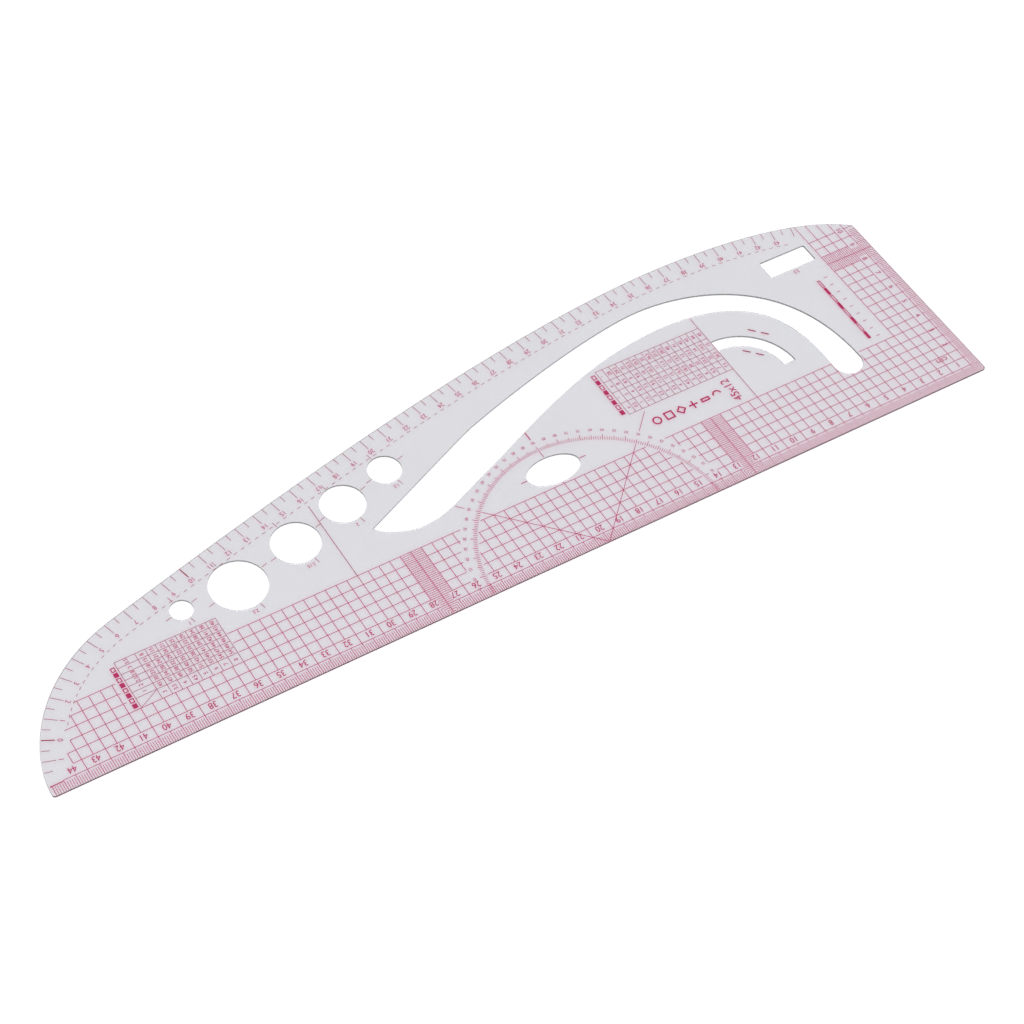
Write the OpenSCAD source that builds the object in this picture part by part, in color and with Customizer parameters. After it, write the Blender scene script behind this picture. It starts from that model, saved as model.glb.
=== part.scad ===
// A clear flexible pattern ruler: a flat sheet with a straight edge, a short end edge,
// a long curved edge, a french-curve slot and small templates, carrying printed ink films.
// Places on the sheet are [u, v] in millimetres: u runs along the straight edge from the
// zero corner and v runs square to it. The model's frame has its origin under the middle
// of the sheet, +X towards the zero corner, +Y towards the curved edge and +Z up.

/* [Sheet] */
// Length of the clear sheet along its straight edge
sheet_length = 451.5; // [450:0.5:454]
// Width of the sheet, from the straight edge to the crest of the curved edge
sheet_width = 120; // [119:0.5:122]
// Thickness of the clear sheet
sheet_thickness = 1; // [0.6:0.1:3]
// Size of the blunted corners
corner_blunt = 1.5; // [0.5:0.1:2.5]

/* [Openings] */
// Diameters of the five round templates, from the heel towards the crest
round_sizes = [10, 25, 21.5, 20, 15]; // [8:0.5:25]
// Long and short diameters of the oval template
oval_size = [25.8, 14.6]; // [10:0.2:26]
// Length and width of the rectangular window
window_size = [25, 10]; // [6:0.5:25]
// Inner and outer radius of the quarter-ring slot
ring_slot_radii = [20.5, 26.5]; // [15:0.5:27]

/* [Ink] */
// Thickness of a printed ink film
ink_thickness = 0.05; // [0.02:0.01:0.2]
// Width of the finest ticks and of the table lines
fine_line = 0.2; // [0.1:0.01:0.25]
// Width of the grid and rule lines
grid_line = 0.25; // [0.15:0.01:0.35]
// Width of the marks that stand out
bold_line = 0.45; // [0.3:0.05:0.8]
// Height of the numerals on the straight edge
straight_digit = 3; // [1.5:0.1:3.4]
// Height of the numerals on the end edge
end_digit = 2.6; // [1.5:0.1:3]
// Height of the numerals on the curved edge
curve_digit = 2.3; // [1.5:0.1:3]
// Height of the tables' numerals
table_digit = 1.8; // [1:0.1:2]
// Height of the protractor's numerals
degree_digit = 1.4; // [0.8:0.1:1.6]

/* [Hidden] */

CRIMSON = [0.71, 0.2, 0.39];
CLEAR_GREY = [0.86, 0.86, 0.88, 0.6];

cm = 10;
half_cm = 5;

// The curved edge: its shoulder, crest, hip and heel, with the slopes between them
shoulder = [0, 100];
shoulder_slope = 37;
crest = [95, sheet_width];
hip = [396.5, 63.5];
hip_slope = -15.4;
heel = [sheet_length, 0];

// The french-curve slot: both sides start at its tip and end at its round butt
slot_tip = [282.5, 53];
slot_outer_crest = [118, 102.3];
slot_outer_bend = [218, 80.5];
slot_inner_trough = [262.5, 44.1];
slot_inner_bend = [227, 55.5];
slot_inner_crest = [113, 88.9];
slot_butt = [52.5, 33];
slot_butt_radius = 7.1;

// Centres of the smaller openings
ROUND_CENTRES = [[369.8, 54.3], [344.2, 54.3], [313.6, 62], [286.8, 70.5], [262.5, 77.9]];
round_cross_tilt = 15;
oval_centre = [200, 43.6];
window_centre = [40.4, 95.5];
window_corner = 1;
ring_slot_centre = [98.7, 45];
ring_slot_end = 1;

// The protractor stands on the straight edge
protractor_centre = [200, 0];
degree_tick_inner = 54.8;
degree_tick_outer = 56.5;
degree_label_radius = 60;
degree_clear = [54.2, 62];

// Where the curved edge's scale starts, measured along the edge from the heel
curve_zero = 25;
curve_last_cm = 43;

// Seam grid: its rows, its last cell at the heel and the fields that it leaves free
grid_top = 35;
GRID_ROW_ENDS = [[10, 438.5], [15, 438.5], [20, 435], [25, 435], [30, 430], [35, 426]];
grid_left = 435;
end_grid_depth = 25;
comb_half = 5;
crest_side_comb_centre = 125;
heel_side_comb_centre = 275;
end_comb_centre = 85;

// Slope table: columns of the run x against 15, with the angle in degrees under each
slope_table = [100, 53.7];
slope_column = 3.42;
slope_row = 6.8;
slope_columns = 16;
slope_rows = 4;

// Radius table: a wide first column, a tall first row and rows of one height
radius_table = [360, 20];
radius_column = 4.45;
radius_columns = 8;
radius_header_column = 9;
radius_row = 3.2;
radius_header_row = 5;
RADIUS_COLUMN_KEYS = [8, 7, 6, 5, 4.5, 4, 3.5, 3];
RADIUS_ROW_KEYS = [1, 2, 2.5, 2.8, 3, 3.5];

// Numerals are strokes in a box one unit high
stroke_width = 0.14;
glyph_width = 0.42;
glyph_pitch = 0.7;

// ---------------------------------------------------------------- geometry helpers

function xy(p) = [sheet_length / 2 - p.x, p.y - sheet_width / 2];
function polar(r, a) = [r * cos(a), r * sin(a)];
function bezier(a, b, c, d, n) = [
    for (i = [0 : n - 1])
        let (t = i / n, s = 1 - t)
        s * s * s * a + 3 * s * s * t * b + 3 * s * t * t * c + t * t * t * d
];
function blunt(a, corner, b, n = 5) = [
    for (i = [0 : n])
        let (t = i / n, s = 1 - t)
        s * s * a + 2 * s * t * corner + t * t * b
];
function arc_points(centre, r, from, to, n) = [
    for (i = [0 : n]) centre + polar(r, from + (to - from) * i / n)
];

// The curved edge from the shoulder to the heel, without its two blunted corners
CURVED_EDGE = concat(
    bezier(shoulder + polar(corner_blunt, shoulder_slope), shoulder + polar(27, shoulder_slope),
           crest - [32.5, 0], crest, 24),
    bezier(crest, crest + [85, 0], hip - polar(85, hip_slope), hip, 60),
    bezier(hip, hip + polar(41, hip_slope), heel + [0, 20.5], heel + [0, corner_blunt], 30),
    [heel + [0, corner_blunt]]
);

OUTLINE = concat(
    blunt([corner_blunt, 0], [0, 0], [0, corner_blunt]),
    blunt(shoulder - [0, corner_blunt], shoulder, CURVED_EDGE[0]),
    [for (i = [1 : len(CURVED_EDGE) - 2]) CURVED_EDGE[i]],
    blunt(heel + [0, corner_blunt], heel, heel - [corner_blunt, 0])
);

slot_butt_outer = slot_butt - [slot_butt_radius, 0];
slot_butt_inner = slot_butt + [slot_butt_radius, 0];
SLOT_OUTER = concat(
    bezier(slot_tip, slot_tip + polar(50, 180 - 23.3), slot_outer_bend + polar(5, -18),
           slot_outer_bend, 16),
    bezier(slot_outer_bend, slot_outer_bend + polar(36, 180 - 18), slot_outer_crest + [21, 0],
           slot_outer_crest, 30),
    bezier(slot_outer_crest, slot_outer_crest - [22, 0], slot_butt_outer + [0, 60],
           slot_butt_outer, 30)
);
SLOT_INNER = concat(
    bezier(slot_tip, slot_tip - polar(3, 70), slot_inner_trough + [10, 0],
           slot_inner_trough, 8),
    bezier(slot_inner_trough, slot_inner_trough - [11, 0], slot_inner_bend + polar(20, -21.5),
           slot_inner_bend, 14),
    bezier(slot_inner_bend, slot_inner_bend + polar(32, 180 - 21.5), slot_inner_crest + [44, 0],
           slot_inner_crest, 36),
    bezier(slot_inner_crest, slot_inner_crest - [57, 0], slot_butt_inner + [0, 17],
           slot_butt_inner, 32)
);
SLOT_BUTT = arc_points(slot_butt, slot_butt_radius, 180, 360, 16);
SLOT = concat(
    SLOT_OUTER,
    SLOT_BUTT,
    [for (i = [len(SLOT_INNER) - 1 : -1 : 1]) SLOT_INNER[i]]
);

// Length along a list of points at each of them, and the place and heading at a length
function lengths(p, i = 0, s = 0, out = []) =
    i == len(p) - 1 ? concat(out, [s])
                    : lengths(p, i + 1, s + norm(p[i + 1] - p[i]), concat(out, [s]));
EDGE_FROM_HEEL = [for (i = [len(CURVED_EDGE) - 1 : -1 : 0]) CURVED_EDGE[i]];
EDGE_LENGTHS = lengths(EDGE_FROM_HEEL);
function stretch(s) = max([for (i = [0 : len(EDGE_LENGTHS) - 2]) if (EDGE_LENGTHS[i] <= s) i]);
function edge_point(s) =
    let (i = stretch(s), part = (s - EDGE_LENGTHS[i]) / (EDGE_LENGTHS[i + 1] - EDGE_LENGTHS[i]))
    EDGE_FROM_HEEL[i] + part * (EDGE_FROM_HEEL[i + 1] - EDGE_FROM_HEEL[i]);
function edge_heading(s) =
    let (d = edge_point(s + 1) - edge_point(s - 1))
    atan2(d.y, d.x);
// The inward direction is a quarter turn from the heading, which runs heel to shoulder
function inside_edge(s, depth) = edge_point(s) + polar(depth, edge_heading(s) + 90);

// ---------------------------------------------------------------- ink helpers

module film() {
    color(CRIMSON)
        translate([0, 0, sheet_thickness])
            linear_extrude(ink_thickness)
                children();
}

module line(from, to, width = grid_line) {
    a = xy(from);
    b = xy(to);
    translate(a)
        rotate(atan2(b.y - a.y, b.x - a.x))
            translate([0, -width / 2])
                square([norm(b - a), width]);
}

function unit(v) = v / norm(v);
function left_normal(v) = [-v.y, v.x];
// One side of a stroke: its corners are mitred and its open ends are square
function stroke_side(p, closed, d) = [
    for (i = [0 : len(p) - 1])
        let (
            n = len(p),
            before = !closed && i == 0 ? p[1] - p[0] : p[i] - p[(i + n - 1) % n],
            after = !closed && i == n - 1 ? before : p[(i + 1) % n] - p[i],
            mid = unit(left_normal(unit(before)) + left_normal(unit(after)))
        )
        p[i] + mid * d / (mid * left_normal(unit(before)))
];
module stroke(closed, raw) {
    points = [
        for (p = raw)
            [stroke_width / 2 + p.x * glyph_width, stroke_width / 2 + p.y * (1 - stroke_width)]
    ];
    left = stroke_side(points, closed, stroke_width / 2);
    right = stroke_side(points, closed, -stroke_width / 2);
    n = len(points);
    if (closed)
        polygon(concat(left, right), paths = [[for (i = [0 : n - 1]) i],
                                              [for (i = [0 : n - 1]) n + i]]);
    else
        polygon(concat(left, [for (i = [n - 1 : -1 : 0]) right[i]]));
}

// Each character's strokes, as [closed, corner points] in a unit box
SIX = [[false, [[0.9, 1], [0, 1], [0, 0], [1, 0], [1, 0.55], [0.4, 0.55]]],
       [false, [[0.6, 0.55], [0, 0.55]]]];
GLYPHS = [
    ["0", [[true, [[0, 0], [1, 0], [1, 1], [0, 1]]]]],
    ["1", [[false, [[0.1, 0.72], [0.6, 1], [0.6, 0]]]]],
    ["2", [[false, [[0, 0.8], [0, 1], [1, 1], [1, 0.6], [0, 0], [1, 0]]]]],
    ["3", [[false, [[0, 1], [1, 1], [1, 0.53], [0.3, 0.53]]],
           [false, [[0.3, 0.53], [1, 0.53], [1, 0], [0, 0]]]]],
    ["4", [[false, [[0.75, 0], [0.75, 0.95]]],
           [false, [[0.75, 1], [0, 0.3], [1.05, 0.3]]]]],
    ["5", [[false, [[0.95, 1], [0.05, 1], [0.05, 0.58], [1, 0.58], [1, 0], [0, 0]]]]],
    ["6", SIX],
    ["7", [[false, [[0, 1], [1, 1], [0.35, 0]]]]],
    ["8", [[true, [[0, 0], [1, 0], [1, 0.53], [0, 0.53]]],
           [true, [[0.05, 0.53], [0.95, 0.53], [0.95, 1], [0.05, 1]]]]],
    ["9", [for (s = SIX) [s[0], [for (p = s[1]) [1 - p.x, 1 - p.y]]]]],
    ["x", [[false, [[0.05, 0.05], [0.95, 0.65]]], [false, [[0.05, 0.65], [0.95, 0.05]]]]],
    ["c", [[false, [[1, 0.65], [0, 0.65], [0, 0], [1, 0]]]]],
    ["m", [[false, [[0, 0], [0, 0.7]]], [false, [[0, 0.65], [0.6, 0.65], [0.6, 0]]],
           [false, [[0.6, 0.65], [1.2, 0.65], [1.2, 0]]]]],
    ["o", [[true, [[0.2, 0.6], [0.8, 0.6], [0.8, 1], [0.2, 1]]]]]
];
function glyph(c) = GLYPHS[search([c], GLYPHS)[0]][1];

function word_width(word) = glyph_pitch * (len(word) - 1) + glyph_width + stroke_width;

// A word's characters, set centred on a place and turned about it
module label(word, at, height, turn) {
    translate(xy(at))
        rotate(turn)
            scale(height)
                translate([-word_width(word) / 2, -0.5])
                    for (i = [0 : len(word) - 1])
                        translate([i * glyph_pitch, 0])
                            if (word[i] == ".")
                                translate([0.2, 0]) square(0.17);
                            else if (word[i] != " ")
                                for (s = glyph(word[i])) stroke(s[0], s[1]);
}

// ---------------------------------------------------------------- the sheet

module ring_slot() {
    inner = ring_slot_radii[0];
    outer = ring_slot_radii[1];
    c = xy(ring_slot_centre);
    translate(c)
        difference() {
            circle(outer, $fn = 160);
            circle(inner, $fn = 160);
            translate([-2 * outer, -2 * outer]) square([2 * outer - ring_slot_end, 4 * outer]);
            translate([-2 * outer, -2 * outer]) square([4 * outer, 2 * outer]);
        }
}

module window() {
    rim = window_size / 2 - [window_corner, window_corner];
    translate(xy(window_centre)) {
        square([window_size.x, 2 * rim.y], center = true);
        square([2 * rim.x, window_size.y], center = true);
        for (sx = [-1, 1], sy = [-1, 1])
            translate([sx * rim.x, sy * rim.y]) circle(window_corner, $fn = 32);
    }
}

module oval() {
    n = 72;
    translate(xy(oval_centre))
        polygon([for (i = [0 : n - 1])
            let (a = 360 * i / n)
            [oval_size.x / 2 * cos(a), oval_size.y / 2 * sin(a)]]);
}

module clear_sheet() {
    cut = sheet_thickness + 2;
    color(CLEAR_GREY)
        difference() {
            linear_extrude(sheet_thickness) polygon([for (p = OUTLINE) xy(p)]);
            translate([0, 0, -1]) linear_extrude(cut) polygon([for (p = SLOT) xy(p)]);
            for (i = [0 : len(round_sizes) - 1])
                translate(concat(xy(ROUND_CENTRES[i]), [-1]))
                    cylinder(d = round_sizes[i], h = cut, $fn = 120);
            translate([0, 0, -1]) linear_extrude(cut) oval();
            translate([0, 0, -1]) linear_extrude(cut) window();
            translate([0, 0, -1]) linear_extrude(cut) ring_slot();
        }
}

// ---------------------------------------------------------------- straight edge

mm_tick = 4;
cm_tick = half_cm - grid_line / 2;

// Ticks shorten towards a comb's centre line and towards the corner, like nested squares
function tick_reach(at, centres) =
    min(concat([mm_tick, at], [for (c = centres) if (abs(at - c) > 0.5) abs(at - c)]));

module straight_edge_mm_ticks() {
    film()
        for (u = [1 : 450])
            if (u % half_cm != 0)
                line([u, 0.1], [u, tick_reach(u, [crest_side_comb_centre, heel_side_comb_centre])],
                     fine_line);
}

module straight_edge_cm_ticks() {
    film() for (u = [half_cm : half_cm : 450]) line([u, 0.1], [u, cm_tick]);
}

module straight_edge_rule_line() {
    film() line([half_cm - grid_line / 2, half_cm], [445, half_cm]);
}

module straight_edge_numerals() {
    film() for (n = [1 : 44]) label(str(n), [cm * n, 7.6], straight_digit, 180);
}

// A bolder stretch of rule line marks the end of the scale at the heel
module straight_edge_end_mark() {
    film() line([445.2, 4.6], [450.8, 4.6], bold_line);
}

// ---------------------------------------------------------------- end edge

module end_edge_mm_ticks() {
    film()
        for (v = [1 : 98])
            if (v % half_cm != 0)
                line([0.1, v], [tick_reach(v, [end_comb_centre]), v], fine_line);
}

module end_edge_cm_ticks() {
    film() for (v = [half_cm : half_cm : 100]) line([0.1, v], [cm_tick, v]);
}

module end_edge_rule_line() {
    film() line([half_cm, half_cm + grid_line / 2], [half_cm, lookup(half_cm, CURVED_EDGE) - 0.4]);
}

module end_edge_numerals() {
    film() for (n = [1 : 10]) label(str(n), [7.5, cm * n], end_digit, -90);
}

module unit_label() {
    film() label("cm", [14.6, 12.8], 3.4, 180);
}

// ---------------------------------------------------------------- curved edge

edge_gap = 0.4;
edge_line = 0.22;

module edge_tick(s, depth, width) {
    line(inside_edge(s, edge_gap), inside_edge(s, depth), width);
}

module curved_edge_half_ticks() {
    film() for (i = [-1 : curve_last_cm]) edge_tick(curve_zero + cm * i + half_cm, 3.7, edge_line);
    film() edge_tick(curve_zero - 1.5 * cm, 3.7, edge_line);
}

module curved_edge_cm_ticks() {
    film()
        for (i = [-1 : curve_last_cm + 1])
            if (i != 0 && i != 10) edge_tick(curve_zero + cm * i, 5.8, edge_line);
}

module curved_edge_bold_ticks() {
    film() for (i = [0, 10]) edge_tick(curve_zero + cm * i, 5.8, bold_line);
}

module curved_edge_numerals() {
    film()
        for (i = [-1 : curve_last_cm])
            let (s = curve_zero + cm * i)
            label(str(abs(i)), inside_edge(s, 7.8), curve_digit, -edge_heading(s));
}

module curved_seam_dashes() {
    dash = 1.8;
    pitch = 3.9;
    film()
        for (i = [2 : 111])
            let (s = curve_zero + pitch * i)
            line(inside_edge(s, cm), inside_edge(s + dash, cm), fine_line);
}

// ---------------------------------------------------------------- seam grids

// The grid stays clear of the protractor's band, the radius table and the slot's butt
module kept_clear_of_grid() {
    translate(xy(protractor_centre))
        difference() {
            circle(degree_clear[1], $fn = 180);
            circle(degree_clear[0], $fn = 180);
            translate([0, -50]) square([200, 100 + 2 * half_cm + 1], center = true);
        }
    table_top = radius_table.y + grid_line / 2;
    translate(xy([radius_table.x + 48.6, table_top])) square([49.2, 30]);
    translate(xy(slot_butt)) circle(slot_butt_radius + 0.4, $fn = 90);
    translate(xy([slot_butt.x + 7.3, slot_butt.y])) square([15.3, 30]);
}

module seam_grid() {
    film()
        difference() {
            union() {
                for (row = GRID_ROW_ENDS) line([half_cm, row.x], [row.y, row.x]);
                for (u = [cm : half_cm : grid_left]) {
                    low = u % cm == 0 ? cm : half_cm + grid_line / 2;
                    high = u > 430 ? 20 : u > 425 ? 30 : grid_top;
                    line([u, low], [u, high + grid_line / 2]);
                }
                line([438.5, cm], [438.5, cm + half_cm]);
            }
            kept_clear_of_grid();
        }
}

module end_grid() {
    depth = end_grid_depth;
    film() {
        for (u = [cm : half_cm : depth])
            line([u, grid_top + grid_line / 2], [u, lookup(u, CURVED_EDGE) - 0.4]);
        for (v = [grid_top + half_cm : half_cm : 100])
            line([v % cm == 0 ? cm : half_cm + grid_line / 2, v], [depth + grid_line / 2, v]);
    }
}

// Lines one millimetre apart across a strip, which narrow to nested squares at the edge
function comb_reach(k) = k < half_cm ? k - fine_line / 2 : k < cm ? 3 : comb_half - grid_line / 2;

module comb(depth, place, side) {
    for (k = [1 : depth], s = [-1, 1])
        if (k % half_cm != 0)
            line(place + k * [side.y, side.x] + s * grid_line / 2 * side,
                 place + k * [side.y, side.x] + s * comb_reach(k) * side, fine_line);
}

module crest_side_comb() {
    film() comb(grid_top, [crest_side_comb_centre, 0], [1, 0]);
}

module heel_side_comb() {
    film() comb(grid_top, [heel_side_comb_centre, 0], [1, 0]);
}

module end_edge_comb() {
    film() comb(end_grid_depth, [0, end_comb_centre], [0, 1]);
}

module crest_reference_line() {
    film() line([100, grid_top + grid_line / 2], [100, 87.6]);
}

module heel_reference_line() {
    film() line([300, grid_top + grid_line / 2], [300, 76]);
}

// ---------------------------------------------------------------- protractor

module ray(angle, from, to, width) {
    line(protractor_centre + polar(from, angle), protractor_centre + polar(to, angle), width);
}

module protractor_ticks() {
    film()
        for (a = [1 : 179])
            ray(a, degree_tick_inner,
                a % 10 == 0 ? degree_tick_outer + 1.2 : a % 5 == 0 ? degree_tick_outer + 0.6
                                                                  : degree_tick_outer,
                a % 5 == 0 ? grid_line : fine_line);
}

module protractor_numerals() {
    film()
        for (a = [5 : 5 : 175])
            label(str(a > 90 ? 180 - a : a), protractor_centre + polar(degree_label_radius, a),
                  degree_digit, 270 - a);
}

module protractor_rays() {
    film() {
        for (a = [45, 135]) ray(a, 0.5, degree_tick_inner - 0.3, grid_line);
        ray(135, degree_clear[1], 73.5, grid_line);
        ray(45, degree_clear[1], 66, grid_line);
        ray(90, degree_clear[1], 66.6, bold_line);
    }
}

// ---------------------------------------------------------------- templates' marks

module round_template_crosses() {
    film()
        for (i = [0 : len(round_sizes) - 1], a = [0 : 90 : 270])
            let (
                r = round_sizes[i] / 2,
                tilt = 180 - round_cross_tilt + a,
                c = ROUND_CENTRES[i]
            )
            line(c + polar(r + 0.4, tilt), c + polar(r + 3.2, tilt), edge_line);
}

module round_template_sizes() {
    film()
        for (i = [0 : len(round_sizes) - 1])
            label(str(round_sizes[i] / cm),
                  ROUND_CENTRES[i] - [0, round_sizes[i] / 2 + 2.6], 1.7, 180);
}

module oval_template_marks() {
    c = oval_centre;
    rx = oval_size.x / 2;
    ry = oval_size.y / 2;
    film() {
        for (s = [-1, 1]) line(c + [s * (rx + 0.3), 0], c + [s * (rx + 3.2), 0], 0.35);
        line(c + [0, ry + 0.3], [c.x, degree_tick_inner], grid_line);
        line(c - [0, ry + 0.3], [c.x, grid_top + grid_line / 2], grid_line);
    }
}

module window_size_label() {
    film() label(str(window_size.x / cm), window_centre - [0, 7.3], 1.9, 180);
}

// Two pairs of short bars lie along the quarter-ring slot, outside and inside it
module ring_slot_marks() {
    radii = [ring_slot_radii[0] - 3.4, ring_slot_radii[1] + 3.6];
    film()
        for (r = radii, offset = [-3, 3])
            let (
                middle = ring_slot_centre + polar(r, 135),
                along = polar(1, 45)
            )
            line(middle + (offset - 1.8) * along, middle + (offset + 1.8) * along, 0.6);
}

// ---------------------------------------------------------------- tables

// A table shares one side with a line that is already there, and starts beside that line
module table_lines(at, columns, rows, start) {
    wide = columns[len(columns) - 1];
    high = rows[len(rows) - 1];
    for (c = columns) line(at + [c, start.y], at + [c, high + fine_line / 2], fine_line);
    for (r = rows) line(at + [start.x, r], at + [wide, r], fine_line);
}

module slope_table_frame() {
    film()
        table_lines(slope_table, [for (i = [1 : slope_columns]) i * slope_column],
                    [for (j = [0 : slope_rows]) j * slope_row],
                    [grid_line / 2, -fine_line / 2]);
}

// Column 1 is the farthest from the zero corner; x grows towards it by half units
function slope_run(column, row) = (column + (row < 2 ? 0 : slope_columns - 1)) / 2;
function slope_angle(x) = round(2 * atan(x / 15)) / 2;

module slope_table_numerals() {
    film()
        for (row = [0 : slope_rows - 1], column = [0 : slope_columns - 1]) {
            x = slope_run(column, row);
            word = column == 0 ? (row % 2 == 0 ? "x" : "o")
                               : str(row % 2 == 0 ? x : slope_angle(x));
            label(word, slope_table + [(slope_columns - column - 0.5) * slope_column,
                                       (row + 0.5) * slope_row], table_digit, 90);
        }
}

// A row of blocks, alternately solid and open, heads a table or fills a title line
module block_row(from, count, pitch, height, width) {
    for (i = [0 : count - 1])
        translate(xy(from + [0, pitch * (i + 0.5)]))
            difference() {
                square([height, width], center = true);
                if (i % 2 == 1) square([height - 0.8, width - 0.8], center = true);
            }
}

module slope_table_heading() {
    film() block_row([156.9, 54.4], 8, 3.2, 2, 2.6);
}

RADIUS_COLUMNS = concat([for (i = [0 : radius_columns]) i * radius_column],
                        [radius_columns * radius_column + radius_header_column]);
RADIUS_ROWS = concat([0], [for (j = [0 : len(RADIUS_ROW_KEYS)]) radius_header_row + j * radius_row]);

module radius_table_frame() {
    film() {
        table_lines(radius_table, RADIUS_COLUMNS,
                    [for (j = [1 : len(RADIUS_ROWS) - 1]) RADIUS_ROWS[j]], [0, grid_line / 2]);
        corner = radius_table + [radius_columns * radius_column, 0];
        line(corner + [0.3, radius_header_row - 0.3], corner + [radius_header_column - 0.3, 0.3],
             fine_line);
    }
}

function radius_entry(column_key, row_key) = round(60 - 45 * row_key / column_key);

module radius_table_numerals() {
    middle = [for (j = [0 : len(RADIUS_ROW_KEYS) - 1]) (RADIUS_ROWS[j + 1] + RADIUS_ROWS[j + 2]) / 2];
    header = radius_columns * radius_column + radius_header_column / 2;
    film() {
        for (i = [0 : radius_columns - 1]) {
            across = (i + 0.5) * radius_column;
            label(str(RADIUS_COLUMN_KEYS[i]), radius_table + [across, radius_header_row / 2],
                  table_digit, 90);
            for (j = [0 : len(RADIUS_ROW_KEYS) - 1])
                label(str(radius_entry(RADIUS_COLUMN_KEYS[i], RADIUS_ROW_KEYS[j])),
                      radius_table + [across, middle[j]], table_digit, 90);
        }
        for (j = [0 : len(RADIUS_ROW_KEYS) - 1])
            label(str(RADIUS_ROW_KEYS[j]), radius_table + [header, middle[j]], table_digit * 0.8, 90);
    }
}

module radius_table_heading() {
    film() block_row([406.4, 20.6], 8, 2.75, 2, 2.2);
}

// ---------------------------------------------------------------- plain marks in place of words

module title_scale_bar() {
    film() {
        block_row([35.2, 39], 8, half_cm, 1.5, half_cm - 0.4);
        for (i = [0 : 8]) line([31.8, 39 + half_cm * i], [30, 39 + half_cm * i], grid_line);
    }
}

module overall_size_label() {
    film() label("45x12", [107.8, 44], 4.2, 90);
}

// Six outline symbols, one for each kind of opening and edge
module shape_key_symbols() {
    size = 4.4;
    place = [for (i = [0 : 5]) [146 - 6.3 * i, 45]];
    bar = 0.7;
    film() {
        translate(xy(place[0])) ring(size / 2, bar);
        translate(xy(place[1])) frame([size, size], bar);
        translate(xy(place[2])) rotate(45) frame([size * 0.8, size * 0.8], bar);
        translate(xy(place[3])) cross(size, bar);
        translate(xy(place[4])) frame([size, size / 2], bar);
        translate(xy(place[5])) intersection() {
            ring(size / 2, bar);
            translate([-size, 0]) square([2 * size, size]);
        }
    }
}

module ring(r, bar) {
    difference() {
        circle(r, $fn = 48);
        circle(r - bar, $fn = 48);
    }
}

module frame(size, bar) {
    difference() {
        square(size, center = true);
        square(size - [2 * bar, 2 * bar], center = true);
    }
}

module cross(size, bar) {
    square([size, bar], center = true);
    square([bar, size], center = true);
}

clear_sheet();
straight_edge_mm_ticks();
straight_edge_cm_ticks();
straight_edge_rule_line();
straight_edge_numerals();
straight_edge_end_mark();
end_edge_mm_ticks();
end_edge_cm_ticks();
end_edge_rule_line();
end_edge_numerals();
unit_label();
curved_edge_half_ticks();
curved_edge_cm_ticks();
curved_edge_bold_ticks();
curved_edge_numerals();
curved_seam_dashes();
seam_grid();
end_grid();
crest_side_comb();
heel_side_comb();
end_edge_comb();
crest_reference_line();
heel_reference_line();
protractor_ticks();
protractor_numerals();
protractor_rays();
round_template_crosses();
round_template_sizes();
oval_template_marks();
window_size_label();
ring_slot_marks();
slope_table_frame();
slope_table_numerals();
slope_table_heading();
radius_table_frame();
radius_table_numerals();
radius_table_heading();
title_scale_bar();
overall_size_label();
shape_key_symbols();
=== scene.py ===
"""A clear flexible pattern ruler with a french-curve slot, printed in crimson, on a white table.

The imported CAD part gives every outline, opening and printed mark. This script makes the clear
sheet again with finer curves and eased edges, sets the numerals in smooth type and gives the
plastic and the ink their materials. Lengths are in metres, in the part's own frame, except where
a comment says millimetres.
"""

import math

import bmesh
import bpy
from mathutils import Matrix, Vector
from mathutils.geometry import tessellate_polygon


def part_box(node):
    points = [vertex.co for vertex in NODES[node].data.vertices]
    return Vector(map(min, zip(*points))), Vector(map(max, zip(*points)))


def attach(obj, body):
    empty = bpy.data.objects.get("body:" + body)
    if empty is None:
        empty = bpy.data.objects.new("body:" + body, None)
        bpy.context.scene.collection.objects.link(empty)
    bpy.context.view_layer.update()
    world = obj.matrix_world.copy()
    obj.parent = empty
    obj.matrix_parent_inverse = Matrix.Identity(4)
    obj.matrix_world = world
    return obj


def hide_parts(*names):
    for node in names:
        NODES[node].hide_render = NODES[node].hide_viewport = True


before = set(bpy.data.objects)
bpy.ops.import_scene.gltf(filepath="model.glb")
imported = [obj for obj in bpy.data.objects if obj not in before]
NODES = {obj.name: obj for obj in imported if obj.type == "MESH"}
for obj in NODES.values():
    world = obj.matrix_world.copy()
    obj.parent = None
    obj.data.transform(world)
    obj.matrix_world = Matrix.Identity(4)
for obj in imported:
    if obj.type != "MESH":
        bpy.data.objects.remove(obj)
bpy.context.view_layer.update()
SHEET_LOW, SHEET_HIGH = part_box("clear_sheet")
MM = 0.001


# ---------------------------------------------------------------- node material helpers

# The numbers of a Mix node's colour sockets, which share their names with its other sockets
MIX_A = 6
MIX_B = 7
MIX_RESULT = 2


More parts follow.
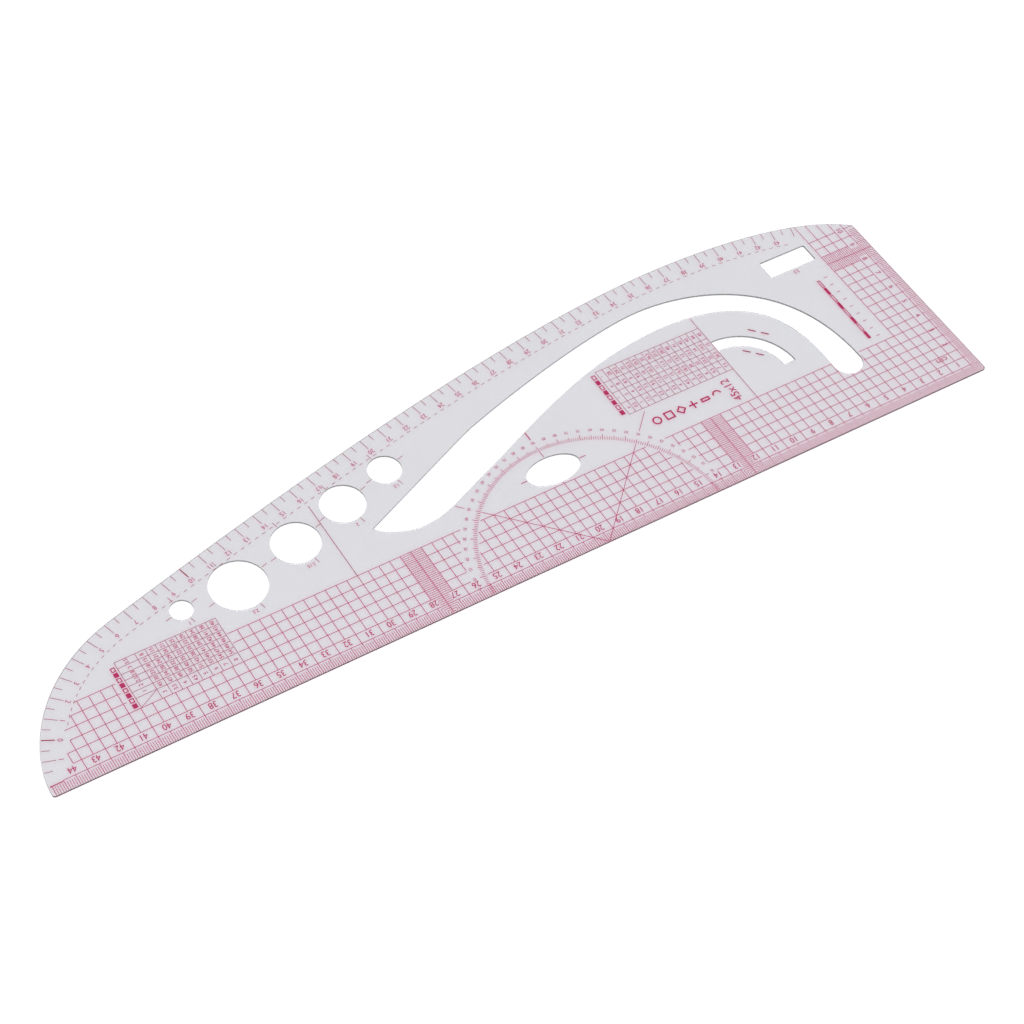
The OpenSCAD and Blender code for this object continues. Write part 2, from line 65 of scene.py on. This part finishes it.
class Shader:
    """A material's node tree, with short calls for the nodes that the materials share."""

    def __init__(self, name):
        self.material = bpy.data.materials.new(name)
        self.material.use_nodes = True
        self.tree = self.material.node_tree
        self.tree.nodes.clear()
        self.output = self.node("ShaderNodeOutputMaterial")
        self.place = self.node("ShaderNodeTexCoord").outputs["Object"]

    def node(self, kind, **settings):
        made = self.tree.nodes.new(kind)
        for key, value in settings.items():
            setattr(made, key, value)
        return made

    def principled(self, **inputs):
        """A Principled shader. Each input is named with underscores for its spaces."""
        made = self.node("ShaderNodeBsdfPrincipled")
        for key, value in inputs.items():
            made.inputs[key.replace("_", " ")].default_value = value
        return made

    def link(self, source, target):
        self.tree.links.new(source, target)

    def noise(self, scale, detail, roughness=0.5, drawn_out=None, turned=0):
        """Noise of scale features a metre. drawn_out scales each axis, before a turn about Z."""
        texture = self.node("ShaderNodeTexNoise")
        texture.inputs["Scale"].default_value = scale
        texture.inputs["Detail"].default_value = detail
        texture.inputs["Roughness"].default_value = roughness
        place = self.place
        if drawn_out:
            mapping = self.node("ShaderNodeMapping")
            mapping.inputs["Scale"].default_value = drawn_out
            mapping.inputs["Rotation"].default_value = (0, 0, turned)
            self.link(place, mapping.inputs["Vector"])
            place = mapping.outputs["Vector"]
        self.link(place, texture.inputs["Vector"])
        return texture.outputs["Fac"]

    def spread(self, value, source, target):
        """Maps the source range onto the target range, and holds the ends."""
        ranged = self.node("ShaderNodeMapRange")
        ranged.inputs["From Min"].default_value = source[0]
        ranged.inputs["From Max"].default_value = source[1]
        ranged.inputs["To Min"].default_value = target[0]
        ranged.inputs["To Max"].default_value = target[1]
        self.link(value, ranged.inputs["Value"])
        return ranged.outputs["Result"]

    def maths(self, operation, a, b):
        made = self.node("ShaderNodeMath", operation=operation)
        self.link(a, made.inputs[0])
        self.link(b, made.inputs[1])
        return made.outputs["Value"]

    def blend(self, share, a, b):
        """Colour a where share is 0 and colour b where it is 1."""
        mix = self.node("ShaderNodeMix", data_type="RGBA")
        mix.inputs[MIX_A].default_value = (*a, 1)
        mix.inputs[MIX_B].default_value = (*b, 1)
        self.link(share, mix.inputs[0])
        return mix.outputs[MIX_RESULT]

    def bump(self, height, distance, under=None):
        """A bumped normal, laid over the normal under, if there is one."""
        made = self.node("ShaderNodeBump")
        made.inputs["Strength"].default_value = 1
        made.inputs["Distance"].default_value = distance
        self.link(height, made.inputs["Height"])
        if under is not None:
            self.link(under, made.inputs["Normal"])
        return made.outputs["Normal"]


# ---------------------------------------------------------------- materials

PLASTIC_IOR = 1.46
FACE_TINTS = ((0.83, 0.83, 0.862), (0.815, 0.815, 0.848))
# Painted shade: the outer edge's tints are far darker than the faces', partly the cut's own grey and
# partly standing in for the dark line that refraction shows along the cut edge.
EDGE_TINTS_WITH_PAINTED_SHADE = ((0.41, 0.385, 0.405), (0.3, 0.28, 0.3))
EDGE_CLEAR = 1
# Painted shade: the openings' walls are tinted blue-grey and kept partly unclear, partly the cut's
# frosting and partly standing in for the blue-grey lines that refraction shows at the openings'
# walls.
OPENING_TINTS_WITH_PAINTED_SHADE = ((0.84, 0.84, 0.89), (0.78, 0.78, 0.83))
OPENING_CLEAR_SHARE_WITH_PAINTED_SHADE = 0.78
PLASTIC_LAMP_TINT = (0.9, 0.9, 0.906)
INK_TINTS = ((0.4, 0.032, 0.115), (0.35, 0.02, 0.085))
FINE_INK_TINTS = ((0.28, 0.035, 0.07), (0.23, 0.025, 0.05))
INK_LAMP_TINT = (0.98, 0.54, 0.7)
TABLE_TINTS = ((0.9, 0.9, 0.902), (0.88, 0.88, 0.884))

# The range that most of a noise lies in, and the range of a share
MIDDLE = (0.3, 0.7)
FULL = (0, 1)


def lamps_pass(shader, surface, tint):
    """Lets lamps and scattered light straight through, tinted, so that what lies below is lit."""
    path = shader.node("ShaderNodeLightPath")
    clear = shader.node("ShaderNodeBsdfTransparent")
    clear.inputs["Color"].default_value = (*tint, 1)
    mix = shader.node("ShaderNodeMixShader")
    either = shader.maths("MAXIMUM", path.outputs["Is Shadow Ray"], path.outputs["Is Diffuse Ray"])
    shader.link(either, mix.inputs[0])
    shader.link(surface, mix.inputs[1])
    shader.link(clear.outputs[0], mix.inputs[2])
    shader.link(mix.outputs[0], shader.output.inputs["Surface"])


def clear_plastic():
    """Polished clear sheet: faint waves from casting, wiping haze and a few hairline scratches."""
    s = Shader("clear_plastic_faces")
    p = s.principled(IOR=PLASTIC_IOR, Transmission_Weight=1)
    haze = s.noise(scale=38, detail=4, roughness=0.6)
    wiped = s.noise(scale=900, detail=2, drawn_out=(1, 0.03, 1), turned=0.5)
    s.link(s.blend(s.spread(haze, MIDDLE, FULL), *FACE_TINTS), p.inputs["Base Color"])
    hazy = s.spread(haze, (0.35, 0.7), (0.035, 0.07))
    streaky = s.spread(wiped, (0.6, 0.8), (0, 0.05))
    s.link(s.maths("ADD", hazy, streaky), p.inputs["Roughness"])
    waves = s.bump(s.noise(scale=26, detail=1), 0.02 * MM)
    scratches = s.bump(s.spread(wiped, (0.68, 0.74), (1, 0)), 0.003 * MM, under=waves)
    s.link(scratches, p.inputs["Normal"])
    lamps_pass(s, p.outputs[0], PLASTIC_LAMP_TINT)
    return s.material


def cut_plastic(name, tints, clear):
    """Cut walls: the same plastic with drag marks. tints are partly the cut's own grey and partly
    painted shade, darker walls standing in for the dark lines seen at cut edges. clear is the share
    that stays clear; the rest shows the tints, partly the cut's frosting and partly painted shade.
    """
    s = Shader(name)
    p = s.principled(IOR=PLASTIC_IOR, Transmission_Weight=clear)
    marks = s.noise(scale=2600, detail=3, drawn_out=(1, 1, 0.08))
    s.link(s.blend(s.spread(marks, MIDDLE, FULL), *tints), p.inputs["Base Color"])
    s.link(s.spread(marks, MIDDLE, (0.18, 0.34)), p.inputs["Roughness"])
    s.link(s.bump(marks, 0.01 * MM), p.inputs["Normal"])
    lamps_pass(s, p.outputs[0], PLASTIC_LAMP_TINT)
    return s.material


def crimson_ink(name, tints):
    """Screen-printed ink: satin, slightly mottled, with a fine grain in its surface."""
    s = Shader(name)
    p = s.principled(Specular_IOR_Level=0.12)
    mottle = s.noise(scale=2200, detail=4, roughness=0.65)
    fine_share = s.spread(mottle, MIDDLE, (0, 0.7))
    broad_share = s.spread(s.noise(scale=60, detail=2), (0.35, 0.65), (0, 0.3))
    s.link(s.blend(s.maths("ADD", fine_share, broad_share), *tints), p.inputs["Base Color"])
    s.link(s.spread(mottle, MIDDLE, (0.42, 0.62)), p.inputs["Roughness"])
    s.link(s.bump(mottle, 0.006 * MM), p.inputs["Normal"])
    lamps_pass(s, p.outputs[0], INK_LAMP_TINT)
    return s.material


def white_table():
    """A plain matt white surface, very slightly uneven in tone."""
    s = Shader("white_table")
    p = s.principled(Roughness=0.7, Specular_IOR_Level=0.2)
    s.link(s.blend(s.noise(scale=3, detail=2), *TABLE_TINTS), p.inputs["Base Color"])
    s.link(p.outputs[0], s.output.inputs["Surface"])
    return s.material


# ---------------------------------------------------------------- smooth outlines

# Points this close are one point, and places are compared to this many decimals
TOUCH = 1e-6
DECIMALS = 7
# A face whose normal reaches this far up is level and faces up
UPWARD = 0.9
# A turn past SHARP is a corner. A side that bends less than STRAIGHT is left as it is.
SHARP = math.radians(60)
STRAIGHT = 1e-4
# A side this many times as long as its neighbour is a straight that meets a bend
LONG = 3
# The longest side and the widest turn between two points of a smoothed bend
STEP = 0.8 * MM
FINE_TURN = math.radians(3)
# The least that a handle or a mitre is divided by, so that neither runs away at a corner
LEAST = 0.5


def top_loops(node, height):
    """The closed outlines of a node's upper face, as lists of 2D points, found from its own mesh."""
    bm = bmesh.new()
    bm.from_mesh(NODES[node].data)
    bmesh.ops.remove_doubles(bm, verts=bm.verts, dist=TOUCH)
    rim = {}
    for edge in bm.edges:
        level = all(abs(v.co.z - height) < TOUCH for v in edge.verts)
        up = [f for f in edge.link_faces if f.normal.z > UPWARD]
        if level and len(up) == 1:
            for loop in up[0].loops:
                if loop.edge == edge:
                    start, end = loop.vert.co.xy, loop.link_loop_next.vert.co.xy
                    rim[start.to_tuple(DECIMALS)] = end.to_tuple(DECIMALS)
    bm.free()
    loops = []
    while rim:
        start = next(iter(rim))
        loop = [start]
        here = rim.pop(start)
        while here != start:
            loop.append(here)
            here = rim.pop(here)
        loops.append([Vector(p) for p in loop])
    return loops


def outermost(loops):
    return max(loops, key=lambda loop: max(p.x for p in loop))


def turn(a, b):
    return abs(a.angle_signed(b, 0))


def tangents(loop):
    """The direction into and out of each point. A long straight side meets a bend along its line."""
    n = len(loop)
    pairs = []
    for i in range(n):
        before = loop[i] - loop[i - 1]
        after = loop[(i + 1) % n] - loop[i]
        u, v = before.normalized(), after.normalized()
        if turn(before, after) > SHARP:
            pairs.append((u, v))
        elif before.length > LONG * after.length:
            pairs.append((u, u))
        elif after.length > LONG * before.length:
            pairs.append((v, v))
        else:
            both = (u * after.length + v * before.length).normalized()
            pairs.append((both, both))
    return pairs


def finer(loop):
    """The same outline with more points: each side becomes a cubic curve between its ends."""
    n = len(loop)
    pairs = tangents(loop)
    points = []
    for i in range(n):
        a, b = loop[i], loop[(i + 1) % n]
        out, into = pairs[i][1], pairs[(i + 1) % n][0]
        length = (b - a).length
        bend = turn(out, b - a) + turn(b - a, into)
        pieces = 1
        if bend >= STRAIGHT:
            pieces = max(math.ceil(bend / FINE_TURN), math.ceil(length / STEP))
        reach = length / 3 / max(LEAST, math.cos(bend / 4) ** 2)
        for k in range(pieces):
            t = k / pieces
            s = 1 - t
            points.append(s ** 3 * a + 3 * s * s * t * (a + out * reach)
                          + 3 * s * t * t * (b - into * reach) + t ** 3 * b)
    return points


def inset(loop, depth):
    """The outline moved into the plastic by depth, which lies to the left of the way it runs."""
    n = len(loop)
    moved = []
    for i in range(n):
        u = (loop[i] - loop[i - 1]).normalized()
        v = (loop[(i + 1) % n] - loop[i]).normalized()
        left = Vector((-u.y - v.y, u.x + v.x)).normalized()
        moved.append(loop[i] + left * depth / max(LEAST, left.dot(Vector((-u.y, u.x)))))
    return moved


# ---------------------------------------------------------------- the clear sheet

EASE = 0.12 * MM
EASE_STEPS = 3
# The sheet's face is raised this far into the ink, so that the two don't lie in one plane
INK_SINK = 0.002 * MM
# The places in the sheet's list of materials, after the faces' material
OUTER_WALL = 1
OPENING_WALL = 2


def add_object(name, bm, materials):
    """Makes an object of a bmesh, which is freed, and links it to the scene."""
    mesh = bpy.data.meshes.new(name)
    bm.to_mesh(mesh)
    bm.free()
    for material in materials:
        mesh.materials.append(material)
    made = bpy.data.objects.new(name, mesh)
    bpy.context.scene.collection.objects.link(made)
    return made


def eased_rows(low, high):
    """How deep each row of a wall lies and how high, from the lower face to the upper one."""
    quarter = [math.radians(90 * i / EASE_STEPS) for i in range(EASE_STEPS + 1)]
    below = [(EASE * (1 - math.sin(a)), low + EASE * (1 - math.cos(a))) for a in quarter]
    above = [(EASE * (1 - math.cos(a)), high - EASE * (1 - math.sin(a))) for a in quarter]
    return below + above


def add_sheet(name, loops, low, high, materials):
    """A flat sheet with eased edges between two heights. Its outlines have the plastic on their left.

    The materials are those of the faces, of the outer edge and of the openings' walls.
    """
    bm = bmesh.new()
    bottom, top = [], []
    outer = outermost(loops)
    for loop in loops:
        rings = []
        for depth, z in eased_rows(low, high):
            rings.append([bm.verts.new((*p, z)) for p in inset(loop, depth)])
        for lower, upper in zip(rings, rings[1:]):
            for i in range(len(loop)):
                j = (i + 1) % len(loop)
                wall = bm.faces.new((lower[j], lower[i], upper[i], upper[j]))
                wall.material_index = OUTER_WALL if loop is outer else OPENING_WALL
                wall.smooth = True
        bottom.append(rings[0])
        top.append(rings[-1])
    for rings, faces_down in ((bottom, True), (top, False)):
        verts = [v for ring in rings for v in ring]
        for triangle in tessellate_polygon([[v.co for v in ring] for ring in rings]):
            corners = [verts[i] for i in triangle]
            bm.faces.new(reversed(corners) if faces_down else corners)
    bmesh.ops.recalc_face_normals(bm, faces=bm.faces)
    return add_object(name, bm, materials)


outlines = [finer(loop) for loop in top_loops("clear_sheet", SHEET_HIGH.z)]
plastics = (clear_plastic(),
            # The outer edge's material carries painted shade in its dark tints, besides the cut's own
            # grey.
            cut_plastic("clear_plastic_outer_edge", EDGE_TINTS_WITH_PAINTED_SHADE, EDGE_CLEAR),
            # The openings' wall material carries painted shade in its blue-grey tints and lowered
            # clear share, besides the cut's frosting.
            cut_plastic("clear_plastic_opening_walls", OPENING_TINTS_WITH_PAINTED_SHADE, OPENING_CLEAR_SHARE_WITH_PAINTED_SHADE))
blade = add_sheet("clear_sheet_polished", outlines, SHEET_LOW.z, SHEET_HIGH.z + INK_SINK, plastics)
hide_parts("clear_sheet")
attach(blade, "root")

# ---------------------------------------------------------------- places on the sheet

# In millimetres, how far the shoulder's blunted corner reaches in from the end edge, and how far the
# heel's reaches up from the straight edge
SHOULDER_CORNER = 1.19
HEEL_CORNER = 1.49


def at(u, v):
    """The place u millimetres along the straight edge from the zero corner, and v square to it."""
    return Vector((SHEET_HIGH.x - u * MM, SHEET_LOW.y + v * MM))


def curved_edge():
    """The curved edge from the heel to the shoulder, as points and the length up to each."""
    outer = outermost(outlines)
    first = max(range(len(outer)), key=lambda i: outer[i].x - outer[i].y)
    run = [p for p in outer[first:] + outer[:first]
           if p.x < SHEET_HIGH.x - SHOULDER_CORNER * MM and p.y > SHEET_LOW.y + HEEL_CORNER * MM]
    run.reverse()
    along = [0]
    for a, b in zip(run, run[1:]):
        along.append(along[-1] + (b - a).length)
    return run, along


def beside_edge(edge, s, depth):
    """The place s along the curved edge and depth inside it, and the edge's heading in degrees."""
    run, along = edge

    def point(length):
        i = max(k for k, passed in enumerate(along[:-1]) if passed <= length)
        return run[i].lerp(run[i + 1], (length - along[i]) / (along[i + 1] - along[i]))

    heading = (point(s + MM) - point(s - MM)).normalized()
    inward = Vector((heading.y, -heading.x))
    return point(s) + inward * depth, math.degrees(math.atan2(heading.y, heading.x))


# ---------------------------------------------------------------- the words of each label

# Sizes and places are in millimetres, as in the CAD part. A word is (text, place, turn in degrees).
CM = 10
CURVE_ZERO = 25
CURVE_LAST_CM = 43
CURVE_LABEL_DEPTH = 7.8
STRAIGHT_LAST_CM = 44
STRAIGHT_LABEL_V = 7.6
END_LAST_CM = 10
END_LABEL_U = 7.5
PROTRACTOR_U = 200
DEGREE_LABEL_RADIUS = 60
SLOPE_TABLE = (100, 53.7)
SLOPE_COLUMNS = 16
SLOPE_COLUMN = 3.42
SLOPE_ROWS = 4
SLOPE_ROW = 6.8
SLOPE_HEIGHT = 15
RADIUS_TABLE = (360, 20)
RADIUS_COLUMN = 4.45
RADIUS_KEY_COLUMN = 9
RADIUS_ROW = 3.2
RADIUS_KEY_ROW = 5
RADIUS_COLUMN_KEYS = (8, 7, 6, 5, 4.5, 4, 3.5, 3)
RADIUS_ROW_KEYS = (1, 2, 2.5, 2.8, 3, 3.5)
ROUND_TEMPLATES = ((10, 369.8, 54.3), (25, 344.2, 54.3), (21.5, 313.6, 62), (20, 286.8, 70.5),
                   (15, 262.5, 77.9))
ROUND_LABEL_GAP = 2.6


def short(number):
    return f"{number:g}"


def curve_words():
    """Centimetres counted both ways from the curved edge's zero."""
    edge = curved_edge()
    for n in range(-1, CURVE_LAST_CM + 1):
        place, heading = beside_edge(edge, (CURVE_ZERO + CM * n) * MM, CURVE_LABEL_DEPTH * MM)
        yield str(abs(n)), place, heading - 180


def straight_words():
    for n in range(1, STRAIGHT_LAST_CM + 1):
        yield str(n), at(CM * n, STRAIGHT_LABEL_V), 180


def end_words():
    for n in range(1, END_LAST_CM + 1):
        yield str(n), at(END_LABEL_U, CM * n), -90


def protractor_words():
    """Every fifth degree, counted up from both ends of the straight edge."""
    for a in range(5, 180, 5):
        across = DEGREE_LABEL_RADIUS * math.cos(math.radians(a))
        up = DEGREE_LABEL_RADIUS * math.sin(math.radians(a))
        yield str(min(a, 180 - a)), at(PROTRACTOR_U + across, up), 270 - a


def slope_angle(run):
    """The angle off upright of a slope that runs so far, in half degrees, with halves rounded up."""
    return round(2 * math.degrees(math.atan(run / SLOPE_HEIGHT)) + 1e-9) / 2


def slope_words():
    """Two pairs of rows: runs, and above each run its angle. Column 0 has the rows' headings."""
    for row in range(SLOPE_ROWS):
        for column in range(SLOPE_COLUMNS):
            run = (column + (0 if row < 2 else SLOPE_COLUMNS - 1)) / 2
            heading, entry = ("x", run) if row % 2 == 0 else ("\u00b0", slope_angle(run))
            place = at(SLOPE_TABLE[0] + (SLOPE_COLUMNS - 0.5 - column) * SLOPE_COLUMN,
                       SLOPE_TABLE[1] + (row + 0.5) * SLOPE_ROW)
            yield heading if column == 0 else short(entry), place, 90


def radius_entry(column_key, row_key):
    """60 less 45 times the row's key over the column's, rounded."""
    return math.floor(60 - 45 * row_key / column_key + 0.5)


def radius_words():
    """Keys along the lowest row and down the last column, and an entry for each pair of keys."""
    u, v = RADIUS_TABLE
    last = u + len(RADIUS_COLUMN_KEYS) * RADIUS_COLUMN + RADIUS_KEY_COLUMN / 2
    heights = [v + RADIUS_KEY_ROW + (j + 0.5) * RADIUS_ROW for j in range(len(RADIUS_ROW_KEYS))]
    for i, column_key in enumerate(RADIUS_COLUMN_KEYS):
        across = u + (i + 0.5) * RADIUS_COLUMN
        yield short(column_key), at(across, v + RADIUS_KEY_ROW / 2), 90
        for row_key, up in zip(RADIUS_ROW_KEYS, heights):
            yield str(radius_entry(column_key, row_key)), at(across, up), 90
    for row_key, up in zip(RADIUS_ROW_KEYS, heights):
        yield short(row_key), at(last, up), 90


def round_template_words():
    """Each round template's diameter in centimetres, below it."""
    for size, u, v in ROUND_TEMPLATES:
        yield short(size / CM), at(u, v - size / 2 - ROUND_LABEL_GAP), 180


# ---------------------------------------------------------------- the print

INK_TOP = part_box("seam_grid")[1].z
# The height of the built-in type's numerals as a share of its size
DIGIT_SHARE = 0.729
TYPE_CURVE_STEPS = 5
TYPE_TOUCH = 1e-7
FINE_MARKS = ("curved_edge_half_ticks", "curved_edge_cm_ticks", "curved_edge_bold_ticks",
              "curved_seam_dashes", "round_template_crosses", "ring_slot_marks",
              "crest_reference_line", "heel_reference_line", "slope_table_frame",
              "radius_table_frame")

ink = crimson_ink("crimson_print", INK_TINTS)
fine_ink = crimson_ink("crimson_print_fine", FINE_INK_TINTS)
for name, node in NODES.items():
    if name != "clear_sheet":
        for slot in node.material_slots:
            slot.material = fine_ink if name in FINE_MARKS else ink


def set_in_type(node, words, height, slim=0, wide=0.92):
    """Replaces a node's plain numerals with smooth type, height millimetres high.

    The strokes lose slim millimetres on both sides, and the type is wide times its usual width.
    """
    bm = bmesh.new()
    low = SHEET_HIGH.z
    for text, place, turned in words:
        type_curve = bpy.data.curves.new(node + "_type", "FONT")
        type_curve.body = text
        type_curve.align_x = "CENTER"
        type_curve.size = height * MM / DIGIT_SHARE
        type_curve.resolution_u = TYPE_CURVE_STEPS
        type_curve.extrude = (INK_TOP - low) / 2
        type_curve.offset = -slim * MM
        block = bpy.data.objects.new(type_curve.name, type_curve)
        mesh = block.to_mesh()
        mesh.transform(Matrix.Translation((*place, (INK_TOP + low) / 2))
                       @ Matrix.Rotation(math.radians(turned), 4, "Z")
                       @ Matrix.Diagonal((wide, 1, 1, 1))
                       @ Matrix.Translation((0, -height * MM / 2, 0)))
        bm.from_mesh(mesh)
        block.to_mesh_clear()
        bpy.data.objects.remove(block)
        bpy.data.curves.remove(type_curve)
    bmesh.ops.remove_doubles(bm, verts=bm.verts, dist=TYPE_TOUCH)
    made = add_object(node + "_type", bm, [ink])
    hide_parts(node)
    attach(made, "root")


set_in_type("curved_edge_numerals", curve_words(), height=2.3, slim=0.015)
set_in_type("straight_edge_numerals", straight_words(), height=3)
set_in_type("end_edge_numerals", end_words(), height=2.6)
set_in_type("protractor_numerals", protractor_words(), height=1.4)
set_in_type("slope_table_numerals", slope_words(), height=1.8)
set_in_type("radius_table_numerals", radius_words(), height=1.8)
set_in_type("round_template_sizes", round_template_words(), height=1.7)
set_in_type("window_size_label", [("2.5", at(40.4, 88.2), 180)], height=1.9)
set_in_type("overall_size_label", [("45x12", at(107.8, 44), 90)], height=4.2)
set_in_type("unit_label", [("cm", at(14.6, 12.8), 180)], height=3.2, slim=0.03, wide=1.15)

# ---------------------------------------------------------------- table, light and camera

TABLE_RADIUS = 3
TABLE_SIDES = 96
TABLE_GAP = 0.1 * MM
VIEW_RANGE = (0.05, 20)


def add_table():
    bm = bmesh.new()
    bmesh.ops.create_circle(bm, cap_ends=True, segments=TABLE_SIDES, radius=TABLE_RADIUS)
    bmesh.ops.translate(bm, verts=bm.verts, vec=(0, 0, SHEET_LOW.z - TABLE_GAP))
    add_object("table_top", bm, [white_table()])


def add_softbox(name, place, target, size, power):
    lamp = bpy.data.lights.new(name, "AREA")
    lamp.shape = "SQUARE"
    lamp.size = size
    lamp.energy = power
    made = bpy.data.objects.new(name, lamp)
    made.location = place
    made.rotation_mode = "QUATERNION"
    made.rotation_quaternion = (Vector(target) - Vector(place)).to_track_quat("-Z", "Y")
    bpy.context.scene.collection.objects.link(made)


def set_sky(colour, strength):
    world = bpy.data.worlds.new("studio")
    world.use_nodes = True
    background = world.node_tree.nodes["Background"]
    background.inputs["Color"].default_value = (*colour, 1)
    background.inputs["Strength"].default_value = strength
    bpy.context.scene.world = world


def add_camera(aim, azimuth, elevation, roll, distance, lens):
    """Looks at aim from that azimuth (0 looks along +Y) and elevation, rolled about its own axis."""
    az, el = math.radians(azimuth), math.radians(elevation)
    ahead = Vector((math.sin(az) * math.cos(el), math.cos(az) * math.cos(el), -math.sin(el)))
    camera = bpy.data.cameras.new("camera")
    camera.lens = lens
    camera.clip_start, camera.clip_end = VIEW_RANGE
    made = bpy.data.objects.new("camera", camera)
    level = ahead.to_track_quat("-Z", "Y").to_matrix().to_4x4()
    made.matrix_world = (Matrix.Translation(Vector(aim) - ahead * distance) @ level
                         @ Matrix.Rotation(math.radians(roll), 4, "Z"))
    bpy.context.scene.collection.objects.link(made)
    bpy.context.scene.camera = made


add_table()
set_sky(colour=(1, 1, 1), strength=0.78)
add_softbox("softbox_front", place=(-0.3, -2.3, 3.3), target=(0.5, 1.5, 0), size=4.2, power=121.5)
add_camera(aim=(-0.0017, -0.02734, 0.001), azimuth=36.58, elevation=51.634, roll=6.084,
           distance=1.0509, lens=88.78)
bpy.context.scene.view_settings.view_transform = "Standard"
